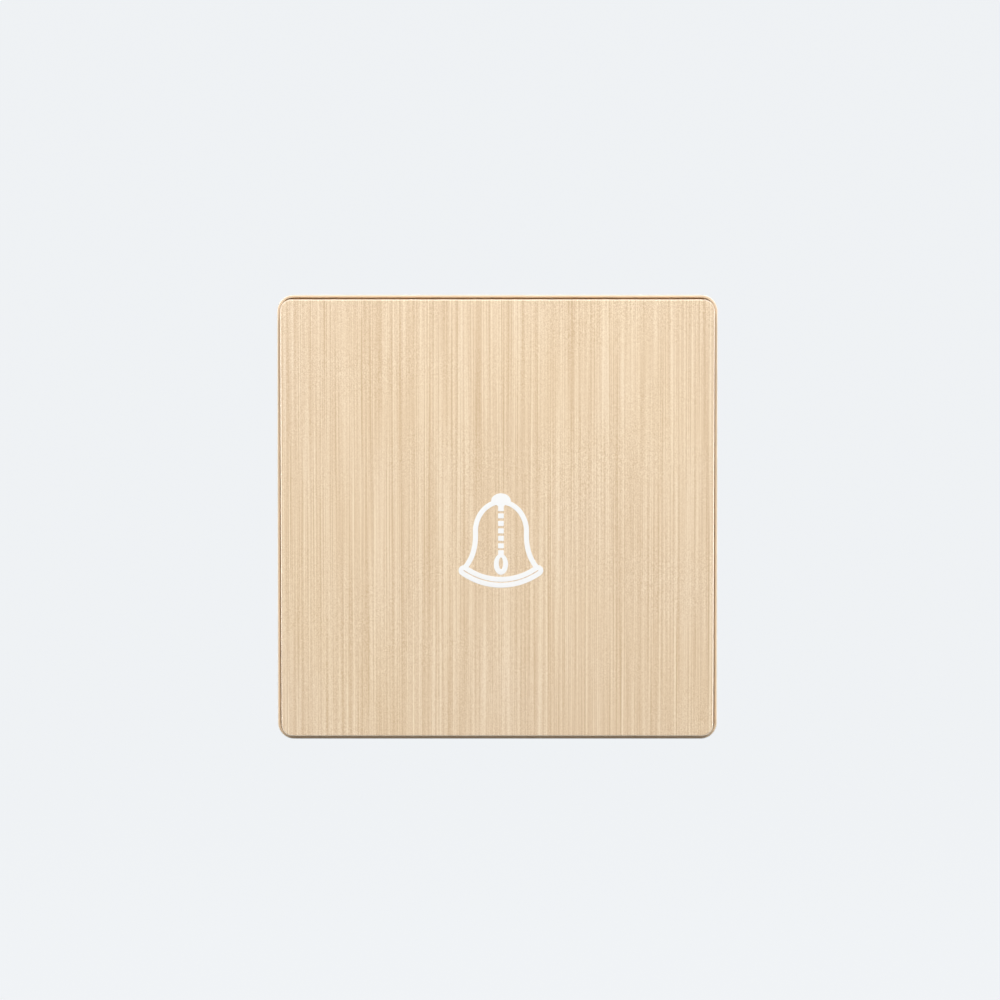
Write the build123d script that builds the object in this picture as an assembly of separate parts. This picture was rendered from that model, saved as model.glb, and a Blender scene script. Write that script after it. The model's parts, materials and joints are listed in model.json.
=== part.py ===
"""Flush wall bell push: a full-face rocker key over a trim frame, on a mounting plate with a switch module.

Millimetres. X runs to the right, Z up and Y into the wall, so the key faces -Y.
The origin is the centre of the plane that lies on the wall.
"""

import os
from math import copysign, cos, radians, sin, sqrt, tau

from build123d import *

# Outline of the front
PLATE_WIDTH = 86.0
PLATE_HEIGHT = 86.8
PLATE_CORNER = 3.2
LEAST_CORNER = 0.6
LEDGE_WIDTH = 1.0

# Trim frame
TRIM_DEPTH = 4.0
TRIM_WALL = 1.6
TRIM_WEB = 1.2
TRIM_RIM_WIDTH = 0.5
TRIM_RIM_HEIGHT = 1.2
TRIM_EDGE_CHAMFER = 0.15
COLLAR_WALL = 1.3
COLLAR_HEIGHT = 2.7
PRY_NOTCH_WIDTH = 9.0
PRY_NOTCH_DEPTH = 1.1

# Snap hooks that hold the trim frame to the mounting plate
HOOK_WIDTH = 6.0
HOOK_SPREAD = 22.0
HOOK_BARB = 0.6
HOOK_REAR_GAP = 0.3
SNAP_CLEARANCE = 0.2
BARB_CLEARANCE = 0.05

# Rocker key
KEY_FACE = 1.8
KEY_EDGE_ROUND = 0.3
SKIRT_WALL = 1.5
SKIRT_DEPTH = 2.7
TRAVEL_GAP = 1.5
COLLAR_CLEARANCE = 0.5
KEY_RIB_WALL = 1.0
KEY_RIB_HEIGHT = 1.5
KEY_RIB_PITCH = 12.0
KEY_TILT = 1.6

# The mechanism is drawn with the standing-out half of the key below, and is fitted with that half on top
FITTED_TURN = 180

# Key clips that hold the key to the cradle
CLIP_WIDTH = 6.0
CLIP_WALL = 1.4
CLIP_BARB = 0.7
CLIP_X = 12.0
CLIP_Z = 11.0
CLIP_CLEARANCE = 0.25
CLIP_BARB_LENGTH = 1.2

# Mounting plate
MOUNT_WEB = 1.6
MOUNT_RIM = 2.0
MOUNT_RIB = 1.2
MOUNT_RIB_SPREAD = 13.0
MOUNT_CLEARANCE = 0.3
WEB_CLEARANCE = 0.2
WINDOW_SIZE = 33.2
FIXING_SPACING = 60.3
FIXING_SLOT_LENGTH = 7.0
FIXING_SLOT_WIDTH = 4.4
FIXING_PAD_MARGIN = 2.6

# Rocker cradle and its pivot
PIVOT_DEPTH = 4.6
TRUNNION_RADIUS = 1.5
TRUNNION_CLEARANCE = 0.05
BEARING_WALL = 2.5
BEARING_WIDTH = 7.0
BEARING_RIM = 2.1
CRADLE_SIDE_INSET = 5.0
CRADLE_END_INSET = 6.5
CRADLE_CORNER = 2.0
CRADLE_FACE = 2.0
CRADLE_WALL = 1.5
CRADLE_SIDE_GAP = 0.4
STOP_CLEARANCE = 0.1

# Plunger, its spring and its tube
PLUNGER_RADIUS = 2.0
PLUNGER_CLEARANCE = 0.05
PLUNGER_TIP_RADIUS = 1.3
PLUNGER_LENGTH = 10.8
PLUNGER_NOSE = 2.0
PLUNGER_TIP_FLANK = 0.9
TIP_CLEARANCE = 0.03
TUBE_WALL = 1.45
TUBE_LENGTH = 10.2
PLUNGER_SPRING_WIRE = 0.45
PLUNGER_SPRING_RADIUS = 1.45
PLUNGER_SPRING_TURNS = 4

# Return spring behind the standing-out half of the cradle
RETURN_SPRING_DROP = 12.4
RETURN_SPRING_WIRE = 0.6
RETURN_SPRING_RADIUS = 2.4
RETURN_SPRING_TURNS = 5
SPIGOT_HEIGHT = 1.4
SPIGOT_CLEARANCE = 0.35
SPRING_CLEARANCE = 0.12
COIL_FACETS = 10
WIRE_FACETS = 5

# Module shell
SHELL_WIDTH = 50.0
SHELL_HEIGHT = 50.0
SHELL_REAR = 21.0
SHELL_WALL = 1.6
SHELL_FLOOR = 1.8
SHELL_CORNER = 3.0
SHELL_EDGE_CHAMFER = 0.8
COLUMN_INSET = 5.2
COLUMN_RADIUS = 3.9
WELL_RADIUS = 3.1
WELL_FLOOR = 2.4
RIB_WALL = 1.4
RIB_LENGTH = 3.0
PILLAR_RIB_CLEARANCE = 0.15

# Self-tapping screws that join the shell to the mounting plate
BOSS_RADIUS = 2.8
BOSS_LENGTH = 7.0
SCREW_SHANK_RADIUS = 1.15
SCREW_SHANK_CLEARANCE = 0.3
SCREW_BITE = 5.6
SCREW_HEAD_RADIUS = 2.7
SCREW_HEAD_HEIGHT = 2.0
PILOT_CLEARANCE = 0.05
PILOT_SPARE = 0.8

# Inner cover over the live parts
COVER_FRONT = 3.0
COVER_THICKNESS = 1.6
COVER_CLEARANCE = 0.3
COVER_POST_SIZE = 3.6
COVER_POST_INSET = 5.0
COVER_POST_Z = 8.0
TUBE_PASSAGE_CLEARANCE = 0.9

# Seesaw contact
SEESAW_AXIS = 11.0
SEESAW_WIDTH = 7.0
SEESAW_LENGTH = 22.0
SEESAW_SHEET = 0.8
SEESAW_FACE_RISE = 1.7
SEESAW_TILT = 6.0
FLANGE_LENGTH = 9.0
FLANGE_LAND = 0.1
NOTCH_RADIUS = 0.8
EAR_CLEARANCE = 0.05
CONTACT_ARM = 9.0
CONTACT_RADIUS = 1.6
CONTACT_HEIGHT = 0.7
CONTACT_GAP_LEFT = 0.05
REST_STOP_DEPTH = 2.0
REST_STOP_WIDTH = 6.0
REST_STOP_CLEARANCE = 0.1

# Brass terminals
STRIP = 1.0
STRIP_WIDTH = 6.0
EAR_FOOT = 4.6
TONGUE_LENGTH = 1.6
TONGUE_CLEARANCE = 0.05
PILLAR_WIDTH = 7.0
PILLAR_HEIGHT = 9.0
PILLAR_LENGTH = 8.2
PILLAR_SIDE_INSET = 7.5
PILLAR_Z = 9.0
WIRE_RADIUS = 1.75
WIRE_GUIDE_RADIUS = 2.1
WIRE_GUIDE_CHAMFER = 0.9
TERMINAL_SCREW_RADIUS = 1.55
TERMINAL_THREAD_CLEARANCE = 0.05
TERMINAL_TIP_GAP = 0.2
TERMINAL_HEAD_RADIUS = 2.9
TERMINAL_HEAD_HEIGHT = 2.0
TERMINAL_HEAD_GAP = 0.8
TERMINAL_ACCESS_CLEARANCE = 0.4
DRIVE_SLOT_WIDTH = 0.9
DRIVE_SLOT_DEPTH = 0.9
CROSS_LENGTH = 3.2

# Places that follow from the sizes above; Y is negative in front of the wall
LEDGE_Y = -TRIM_DEPTH
TRIM_RIM_Y = LEDGE_Y - TRIM_RIM_HEIGHT
SKIRT_Y = LEDGE_Y - TRAVEL_GAP
KEY_REAR_Y = SKIRT_Y - SKIRT_DEPTH
KEY_FRONT_Y = KEY_REAR_Y - KEY_FACE
COLLAR_Y = LEDGE_Y - COLLAR_HEIGHT
TRIM_WEB_Y = LEDGE_Y + TRIM_WEB
COLLAR_INSET = LEDGE_WIDTH + SKIRT_WALL + COLLAR_CLEARANCE
HOOK_INSET = COLLAR_INSET + COLLAR_WALL
MOUNT_FRONT_Y = TRIM_WEB_Y + WEB_CLEARANCE
MOUNT_REAR_Y = MOUNT_FRONT_Y + MOUNT_WEB
MOUNT_INSET = TRIM_WALL + MOUNT_CLEARANCE
PIVOT_Y = -PIVOT_DEPTH
CRADLE_WIDTH = SHELL_WIDTH - 2 * CRADLE_SIDE_INSET
CRADLE_HEIGHT = SHELL_HEIGHT - 2 * CRADLE_END_INSET
CRADLE_FACE_Y = KEY_REAR_Y + CRADLE_FACE
CRADLE_WALL_Y = MOUNT_FRONT_Y - STOP_CLEARANCE - CRADLE_HEIGHT / 2 * sin(radians(KEY_TILT))
TUBE_RADIUS = PLUNGER_RADIUS + PLUNGER_CLEARANCE + TUBE_WALL
TUBE_END_Y = CRADLE_FACE_Y + TUBE_LENGTH
SEESAW_FACE_Y = SEESAW_AXIS - SEESAW_FACE_RISE
SEESAW_REAR_Y = SEESAW_FACE_Y + SEESAW_SHEET
PLUNGER_TIP_Y = SEESAW_FACE_Y - TIP_CLEARANCE
PLUNGER_REAR_Y = PLUNGER_TIP_Y - PLUNGER_LENGTH
COVER_REAR_Y = COVER_FRONT + COVER_THICKNESS
FLOOR_Y = SHELL_REAR - SHELL_FLOOR
COLUMN_X = SHELL_WIDTH / 2 - COLUMN_INSET
COLUMN_Z = SHELL_HEIGHT / 2 - COLUMN_INSET
BOSS_END_Y = MOUNT_REAR_Y + BOSS_LENGTH
WELL_Y = BOSS_END_Y + WELL_FLOOR
COVER_POST_X = SHELL_WIDTH / 2 - COVER_POST_INSET
PILLAR_X = SHELL_WIDTH / 2 - PILLAR_SIDE_INSET
PILLAR_FRONT_Y = FLOOR_Y - PILLAR_LENGTH
PILLAR_INNER_X = PILLAR_X - PILLAR_WIDTH / 2
PILLAR_OUTER_X = PILLAR_X + PILLAR_WIDTH / 2
TERMINAL_SCREW_Y = FLOOR_Y - PILLAR_LENGTH / 2
CONTACT_FACE_Y = SEESAW_REAR_Y + CONTACT_HEIGHT
SIDES = (-1, 1)
SCREW_PLACES = ((-COLUMN_X, COLUMN_Z), (COLUMN_X, -COLUMN_Z))


def slab(profile, front, rear):
    """A profile drawn as seen from the front, X across and Z up, made solid between two depths."""
    return extrude(Plane.XZ.offset(-rear) * profile, amount=rear - front)


def outline(inset):
    """The plate's rounded outline, drawn in by an inset."""
    corner = max(PLATE_CORNER - inset, LEAST_CORNER)
    return RectangleRounded(PLATE_WIDTH - 2 * inset, PLATE_HEIGHT - 2 * inset, corner)


def rod(radius, x, z, front, rear):
    """A round post along Y."""
    return slab(Pos(x, z) * Circle(radius), front, rear)


def block(width, height, x, z, front, rear):
    """A square-edged block, centred on x and z."""
    return slab(Pos(x, z) * Rectangle(width, height), front, rear)


def about_x(shape, axis_y, degrees):
    """Turns a shape about a line along X at the given depth and at mid height."""
    return Pos(0, axis_y, 0) * Rot(degrees, 0, 0) * Pos(0, -axis_y, 0) * shape


def coil(radius, wire, turns, x, z, front, rear):
    """A compression spring along Y in short straight runs, its wire lying inside the two depths."""
    rise = (rear - front - wire) / (turns * COIL_FACETS)
    points = []
    for step in range(turns * COIL_FACETS + 1):
        angle = tau * step / COIL_FACETS
        depth = front + wire / 2 + rise * step
        points.append((x + radius * cos(angle), depth, z + radius * sin(angle)))
    path = Polyline(*points)
    section = Plane(path @ 0, z_dir=path % 0) * RegularPolygon(wire / 2, WIRE_FACETS)
    return sweep(section, path=path, transition=Transition.RIGHT)


def hook_places():
    """Turn, reach and offset of each snap hook: two on every side of the frame."""
    reaches = (PLATE_WIDTH / 2, PLATE_HEIGHT / 2)
    for turn in range(4):
        reach = reaches[turn % 2] - HOOK_INSET
        for side in SIDES:
            yield turn * 90, reach, side * HOOK_SPREAD


def on_side(turn, shape):
    """Turns a shape that is drawn on the right-hand side to one of the four sides."""
    return Rot(0, -turn, 0) * shape


def trim_frame():
    """Channel-section ring: outer wall with a low rim, a ledge, and a collar inside the key's skirt."""
    skin = slab(outline(0), TRIM_RIM_Y, 0)
    skin = chamfer(skin.faces().sort_by(Axis.Y)[0].edges(), TRIM_EDGE_CHAMFER)
    skin -= slab(outline(TRIM_RIM_WIDTH), TRIM_RIM_Y, LEDGE_Y)
    ring = skin + slab(outline(COLLAR_INSET), COLLAR_Y, LEDGE_Y)
    ring -= slab(outline(HOOK_INSET), COLLAR_Y, 0)
    ring -= slab(outline(TRIM_WALL), TRIM_WEB_Y, 0)
    for turn, reach, offset in hook_places():
        hook = slab(
            Pos(reach + COLLAR_WALL / 2, offset) * Rectangle(COLLAR_WALL, HOOK_WIDTH),
            TRIM_WEB_Y, -HOOK_REAR_GAP,
        )
        barb = slab(
            Pos(reach - HOOK_BARB / 2, offset) * Rectangle(HOOK_BARB, HOOK_WIDTH),
            MOUNT_REAR_Y + BARB_CLEARANCE, -HOOK_REAR_GAP,
        )
        ring += on_side(turn, hook + barb)
    notch = block(
        PRY_NOTCH_WIDTH, 2 * TRIM_WALL, 0, -PLATE_HEIGHT / 2, -PRY_NOTCH_DEPTH, 0
    )
    return ring - notch


def key_ribs():
    """Stiffening ribs on the key's back, between the cradle and the skirt."""
    start_x = CRADLE_WIDTH / 2 + BEARING_WALL + 2 * CRADLE_SIDE_GAP + KEY_RIB_WALL
    start_z = CRADLE_HEIGHT / 2 + CRADLE_SIDE_GAP + KEY_RIB_WALL
    end_x = PLATE_WIDTH / 2 - HOOK_INSET - COLLAR_CLEARANCE
    end_z = PLATE_HEIGHT / 2 - HOOK_INSET - COLLAR_CLEARANCE
    profile = Sketch()
    for side in SIDES:
        for step in (-1, 0, 1):
            place = step * KEY_RIB_PITCH
            upright = Pos(place, side * (start_z + end_z) / 2)
            across = Pos(side * (start_x + end_x) / 2, place)
            profile += upright * Rectangle(KEY_RIB_WALL, end_z - start_z)
            profile += across * Rectangle(end_x - start_x, KEY_RIB_WALL)
    return slab(profile, KEY_REAR_Y, KEY_REAR_Y + KEY_RIB_HEIGHT)


def key_clips():
    """Four barbed legs that pass through the cradle's face."""
    clips = []
    barb_front = CRADLE_FACE_Y + BARB_CLEARANCE
    tip = barb_front + CLIP_BARB_LENGTH
    for side in SIDES:
        for end in SIDES:
            leg = block(CLIP_WIDTH, CLIP_WALL, side * CLIP_X, end * CLIP_Z, KEY_REAR_Y, tip)
            barb_z = end * (CLIP_Z + CLIP_WALL / 2 + CLIP_BARB / 2)
            clips.append(leg + block(CLIP_WIDTH, CLIP_BARB, side * CLIP_X, barb_z, barb_front, tip))
    return clips


def rocker_key():
    """Full-face key: a plate with a skirt all round, drawn level and then set at its rest tilt."""
    key = slab(outline(LEDGE_WIDTH), KEY_FRONT_Y, SKIRT_Y)
    key = fillet(key.faces().sort_by(Axis.Y)[0].edges(), KEY_EDGE_ROUND)
    key -= slab(outline(LEDGE_WIDTH + SKIRT_WALL), KEY_REAR_Y, SKIRT_Y)
    key += key_ribs()
    for clip in key_clips():
        key += clip
    return about_x(key, PIVOT_Y, -KEY_TILT)


def rocker_cradle():
    """Carrier that the key clips to: face, walls, trunnions, plunger tube and spring spigot."""
    blank = RectangleRounded(CRADLE_WIDTH, CRADLE_HEIGHT, CRADLE_CORNER)
    hollow = Rectangle(CRADLE_WIDTH - 2 * CRADLE_WALL, CRADLE_HEIGHT - 2 * CRADLE_WALL)
    cradle = slab(blank, KEY_REAR_Y, CRADLE_WALL_Y) - slab(hollow, CRADLE_FACE_Y, CRADLE_WALL_Y)
    for side in SIDES:
        for end in SIDES:
            cradle -= block(
                CLIP_WIDTH + 2 * CLIP_CLEARANCE, CLIP_WALL + 2 * CLIP_CLEARANCE,
                side * CLIP_X, end * CLIP_Z, KEY_REAR_Y, CRADLE_FACE_Y,
            )
        length = BEARING_WALL + CRADLE_SIDE_GAP
        middle = side * (CRADLE_WIDTH / 2 + length / 2 - CRADLE_WALL / 2)
        pin = Cylinder(TRUNNION_RADIUS, length + CRADLE_WALL, rotation=(0, 90, 0))
        cradle += Pos(middle, PIVOT_Y, 0) * pin
    cradle += rod(TUBE_RADIUS, 0, 0, CRADLE_FACE_Y, TUBE_END_Y)
    cradle -= rod(PLUNGER_RADIUS + PLUNGER_CLEARANCE, 0, 0, CRADLE_FACE_Y, TUBE_END_Y)
    spigot_end = CRADLE_FACE_Y + SPIGOT_HEIGHT
    cradle += rod(spigot_radius(), 0, -RETURN_SPRING_DROP, CRADLE_FACE_Y, spigot_end)
    return about_x(cradle, PIVOT_Y, -KEY_TILT)


def spigot_radius():
    """Radius of the pegs that centre the return spring at its two ends."""
    return RETURN_SPRING_RADIUS - RETURN_SPRING_WIRE / 2 - SPIGOT_CLEARANCE


def plunger():
    """Round-nosed pin that slides in the cradle's tube and bears on the seesaw."""
    shoulder = PLUNGER_TIP_Y - PLUNGER_NOSE
    cap = PLUNGER_TIP_Y - PLUNGER_TIP_RADIUS + sqrt(PLUNGER_TIP_RADIUS**2 - PLUNGER_TIP_FLANK**2)
    half = Polyline(
        (0, PLUNGER_REAR_Y), (PLUNGER_RADIUS, PLUNGER_REAR_Y),
        (PLUNGER_RADIUS, shoulder), (PLUNGER_TIP_FLANK, cap),
    )
    nose = RadiusArc((PLUNGER_TIP_FLANK, cap), (0, PLUNGER_TIP_Y), -PLUNGER_TIP_RADIUS)
    edge = Line((0, PLUNGER_TIP_Y), (0, PLUNGER_REAR_Y))
    pin = revolve(make_face([half, nose, edge]), Axis.Y)
    return about_x(pin, PIVOT_Y, -KEY_TILT)


def plunger_spring():
    """Spring between the blind end of the tube and the plunger."""
    spring = coil(
        PLUNGER_SPRING_RADIUS, PLUNGER_SPRING_WIRE, PLUNGER_SPRING_TURNS, 0, 0,
        CRADLE_FACE_Y, PLUNGER_REAR_Y,
    )
    return about_x(spring, PIVOT_Y, -KEY_TILT)


def return_spring():
    """Spring that pushes the pressed half of the key out again."""
    lever = RETURN_SPRING_DROP * sin(radians(KEY_TILT))
    spread = (RETURN_SPRING_RADIUS + RETURN_SPRING_WIRE) * sin(radians(KEY_TILT))
    seat_y = CRADLE_FACE_Y - lever + spread
    return coil(
        RETURN_SPRING_RADIUS, RETURN_SPRING_WIRE, RETURN_SPRING_TURNS, 0, -RETURN_SPRING_DROP,
        seat_y + SPRING_CLEARANCE, COVER_FRONT,
    )


def bearing(side):
    """Cheek on the mounting plate with the bore for one trunnion."""
    inner = side * (CRADLE_WIDTH / 2 + CRADLE_SIDE_GAP + BEARING_WALL / 2)
    top = PIVOT_Y - BEARING_RIM
    cheek = block(BEARING_WALL, BEARING_WIDTH, inner, 0, top, MOUNT_FRONT_Y)
    hole = Cylinder(TRUNNION_RADIUS + TRUNNION_CLEARANCE, 2 * BEARING_WALL, rotation=(0, 90, 0))
    return cheek - Pos(inner, PIVOT_Y, 0) * hole


def mounting_plate():
    """Ribbed plate that screws to the wall box and carries everything else."""
    face = outline(MOUNT_INSET)
    plate = slab(face, MOUNT_FRONT_Y, 0) - slab(outline(MOUNT_INSET + MOUNT_RIM), MOUNT_REAR_Y, 0)
    plate -= block(WINDOW_SIZE, WINDOW_SIZE, 0, 0, MOUNT_FRONT_Y, MOUNT_REAR_Y)
    for turn, size, shell in ((0, PLATE_WIDTH, SHELL_WIDTH), (90, PLATE_HEIGHT, SHELL_HEIGHT)):
        rim = size / 2 - MOUNT_INSET - MOUNT_RIM
        start = shell / 2 + MOUNT_CLEARANCE
        for side in SIDES:
            for step in SIDES:
                middle = side * (start + rim) / 2
                rib = block(rim - start, MOUNT_RIB, middle, step * MOUNT_RIB_SPREAD, MOUNT_REAR_Y, 0)
                plate += on_side(turn, rib)
    slot = SlotOverall(FIXING_SLOT_LENGTH, FIXING_SLOT_WIDTH)
    pad = Rectangle(FIXING_SLOT_LENGTH + 2 * FIXING_PAD_MARGIN, FIXING_SLOT_WIDTH + 2 * FIXING_PAD_MARGIN)
    shell_room = block(
        SHELL_WIDTH + 2 * MOUNT_CLEARANCE, SHELL_HEIGHT + 2 * MOUNT_CLEARANCE, 0, 0, MOUNT_REAR_Y, 0
    )
    for side in SIDES:
        place = Pos(side * FIXING_SPACING / 2, 0)
        plate += slab(place * pad, MOUNT_REAR_Y, 0) - shell_room
        plate -= slab(place * slot, MOUNT_FRONT_Y, 0)
        plate += bearing(side)
    for x, z in SCREW_PLACES:
        plate += rod(BOSS_RADIUS, x, z, MOUNT_REAR_Y, BOSS_END_Y)
        pilot = BOSS_END_Y - SCREW_BITE - PILOT_SPARE
        plate -= rod(SCREW_SHANK_RADIUS + PILOT_CLEARANCE, x, z, pilot, BOSS_END_Y)
    for turn, reach, offset in hook_places():
        inner = reach - SNAP_CLEARANCE
        outer = reach + COLLAR_WALL + SNAP_CLEARANCE
        cut = Pos((inner + outer) / 2, offset) * Rectangle(outer - inner, HOOK_WIDTH + 2 * SNAP_CLEARANCE)
        plate -= on_side(turn, slab(cut, MOUNT_FRONT_Y, 0))
    return plate


def shell_outline(inset):
    """The module's rounded outline, drawn in by an inset."""
    corner = max(SHELL_CORNER - inset, LEAST_CORNER)
    return RectangleRounded(SHELL_WIDTH - 2 * inset, SHELL_HEIGHT - 2 * inset, corner)


def module_shell():
    """Box behind the mounting plate, with screw columns, cover ribs and wire guides."""
    shell = slab(shell_outline(0), MOUNT_REAR_Y, SHELL_REAR)
    shell = chamfer(shell.faces().sort_by(Axis.Y)[-1].edges(), SHELL_EDGE_CHAMFER)
    shell -= slab(shell_outline(SHELL_WALL), MOUNT_REAR_Y, FLOOR_Y)
    inside = slab(shell_outline(SHELL_WALL / 2), BOSS_END_Y, FLOOR_Y)
    for x, z in SCREW_PLACES:
        shell += rod(COLUMN_RADIUS, x, z, BOSS_END_Y, FLOOR_Y) & inside
        shell -= rod(WELL_RADIUS, x, z, WELL_Y, SHELL_REAR)
        shell -= rod(SCREW_SHANK_RADIUS + SCREW_SHANK_CLEARANCE, x, z, BOSS_END_Y, WELL_Y)
    for side in SIDES:
        for turn, size in ((0, SHELL_WIDTH), (90, SHELL_HEIGHT)):
            middle = side * (size / 2 - SHELL_WALL - RIB_LENGTH / 2)
            shell += on_side(turn, block(RIB_LENGTH, RIB_WALL, middle, 0, COVER_REAR_Y, FLOOR_Y))
        shell += pillar_ribs(side)
        shell -= wire_guide(side)
        access = Cylinder(
            TERMINAL_HEAD_RADIUS + TERMINAL_ACCESS_CLEARANCE, 3 * SHELL_WALL, rotation=(0, 90, 0)
        )
        shell -= Pos(side * (SHELL_WIDTH / 2 - SHELL_WALL / 2), TERMINAL_SCREW_Y, PILLAR_Z) * access
    return shell + rest_stop()


def pillar_ribs(side):
    """Two ribs on the floor that keep a brass pillar from turning."""
    ribs = Sketch()
    for end in SIDES:
        gap = PILLAR_HEIGHT / 2 + PILLAR_RIB_CLEARANCE + RIB_WALL / 2
        ribs += Pos(side * PILLAR_X, PILLAR_Z + end * gap) * Rectangle(PILLAR_WIDTH, RIB_WALL)
    return slab(ribs, PILLAR_FRONT_Y + PILLAR_LENGTH / 2, FLOOR_Y)


def wire_guide(side):
    """Funnel through the shell's floor that leads a wire into its pillar."""
    x = side * PILLAR_X
    mouth = Cone(
        WIRE_GUIDE_RADIUS, WIRE_GUIDE_RADIUS + WIRE_GUIDE_CHAMFER, WIRE_GUIDE_CHAMFER,
        rotation=(-90, 0, 0),
    )
    hole = rod(WIRE_GUIDE_RADIUS, x, PILLAR_Z, FLOOR_Y, SHELL_REAR)
    return hole + Pos(x, SHELL_REAR - WIRE_GUIDE_CHAMFER / 2, PILLAR_Z) * mouth


def seesaw_depth(rise, arm, tilt):
    """Depth of a point of the seesaw that lies behind its axis by rise and above it by arm, once tilted."""
    return SEESAW_AXIS + rise * cos(radians(tilt)) - arm * sin(radians(tilt))


def rest_stop():
    """Post on the shell's floor that the end of the seesaw without a contact rests on."""
    far = CONTACT_ARM + REST_STOP_DEPTH / 2
    top = seesaw_depth(SEESAW_REAR_Y - SEESAW_AXIS, -far, SEESAW_TILT) + REST_STOP_CLEARANCE
    return block(REST_STOP_WIDTH, REST_STOP_DEPTH, 0, -CONTACT_ARM, top, FLOOR_Y)


def contact_cover():
    """Plate over the live parts, with the passage for the cradle's tube and the return spring's seat."""
    inset = SHELL_WALL + COVER_CLEARANCE
    cover = slab(shell_outline(inset), COVER_FRONT, COVER_REAR_Y)
    cover -= rod(TUBE_RADIUS + TUBE_PASSAGE_CLEARANCE, 0, 0, COVER_FRONT, COVER_REAR_Y)
    corner = 2 * (COLUMN_INSET + BOSS_RADIUS + COVER_CLEARANCE)
    for x, z in SCREW_PLACES:
        corner_x = copysign(SHELL_WIDTH / 2, x)
        corner_z = copysign(SHELL_HEIGHT / 2, z)
        cover -= block(corner, corner, corner_x, corner_z, COVER_FRONT, COVER_REAR_Y)
    for side in SIDES:
        for end in SIDES:
            x, z = side * COVER_POST_X, end * COVER_POST_Z
            cover += block(COVER_POST_SIZE, COVER_POST_SIZE, x, z, MOUNT_REAR_Y, COVER_FRONT)
    spigot = rod(spigot_radius(), 0, -RETURN_SPRING_DROP, COVER_FRONT - SPIGOT_HEIGHT, COVER_FRONT)
    return cover + spigot


def seesaw_contact():
    """Folded copper rocker: a flat web with two notched flanges that sit on the terminal's ears."""
    seesaw = block(SEESAW_WIDTH, SEESAW_LENGTH, 0, 0, SEESAW_FACE_Y, SEESAW_REAR_Y)
    flange_x = SEESAW_WIDTH / 2 - SEESAW_SHEET / 2
    for side in SIDES:
        rear = SEESAW_AXIS + FLANGE_LAND
        seesaw += block(SEESAW_SHEET, FLANGE_LENGTH, side * flange_x, 0, SEESAW_REAR_Y, rear)
    notch = Cylinder(NOTCH_RADIUS, 2 * SEESAW_WIDTH, rotation=(0, 90, 0))
    seesaw -= Pos(0, SEESAW_AXIS, 0) * notch
    return about_x(seesaw, SEESAW_AXIS, SEESAW_TILT)


def moving_contact():
    """Silver tip brazed on the contact end of the seesaw."""
    tip = rod(CONTACT_RADIUS, 0, CONTACT_ARM, SEESAW_REAR_Y, CONTACT_FACE_Y)
    return about_x(tip, SEESAW_AXIS, SEESAW_TILT)


def fixed_face_y():
    """Depth of the fixed contact's face, just clear of the moving contact when the key is pressed."""
    edge = CONTACT_ARM + CONTACT_RADIUS
    return seesaw_depth(CONTACT_FACE_Y - SEESAW_AXIS, edge, -SEESAW_TILT) + CONTACT_GAP_LEFT


def fixed_contact():
    """Silver tip brazed on the bell terminal."""
    face = fixed_face_y()
    return rod(CONTACT_RADIUS, 0, CONTACT_ARM, face, face + CONTACT_HEIGHT)


def bell_terminal():
    """Brass strip from the fixed contact to the bell pillar."""
    seat = fixed_face_y() + CONTACT_HEIGHT
    start = -STRIP_WIDTH / 2
    end = PILLAR_INNER_X + TONGUE_LENGTH
    return block(end - start, STRIP_WIDTH, (start + end) / 2, CONTACT_ARM, seat, seat + STRIP)


def supply_terminal():
    """Brass bracket on the floor: two ears for the seesaw and an arm to the supply pillar."""
    top = FLOOR_Y - STRIP
    foot = Rectangle(SEESAW_WIDTH, EAR_FOOT)
    bend_x = -PILLAR_INNER_X + STRIP_WIDTH / 2
    arm = Pos((bend_x - SEESAW_WIDTH / 2) / 2, 0) * Rectangle(-bend_x - SEESAW_WIDTH / 2, EAR_FOOT)
    rise = PILLAR_Z + STRIP_WIDTH / 2 + EAR_FOOT / 2
    upright = Pos(bend_x, rise / 2 - EAR_FOOT / 2) * Rectangle(STRIP_WIDTH, rise)
    tongue_end = -PILLAR_INNER_X - TONGUE_LENGTH
    tongue = Pos((tongue_end + bend_x) / 2, PILLAR_Z) * Rectangle(bend_x - tongue_end, STRIP_WIDTH)
    bracket = slab(foot + arm + upright + tongue, top, FLOOR_Y)
    for side in SIDES:
        bracket += ear(side)
    return bracket


def ear(side):
    """Upright of the supply terminal, rounded at the top where the seesaw's notch sits."""
    tip = NOTCH_RADIUS - EAR_CLEARANCE
    half = EAR_FOOT / 2
    sides = Polyline((SEESAW_AXIS, -tip), (FLOOR_Y, -half), (FLOOR_Y, half), (SEESAW_AXIS, tip))
    top = ThreePointArc((SEESAW_AXIS, tip), (SEESAW_AXIS - tip, 0), (SEESAW_AXIS, -tip))
    profile = Plane.YZ * make_face([sides, top])
    sheet = extrude(profile, amount=SEESAW_SHEET / 2, both=True)
    return Pos(side * (SEESAW_WIDTH / 2 - SEESAW_SHEET / 2), 0, 0) * sheet


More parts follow.
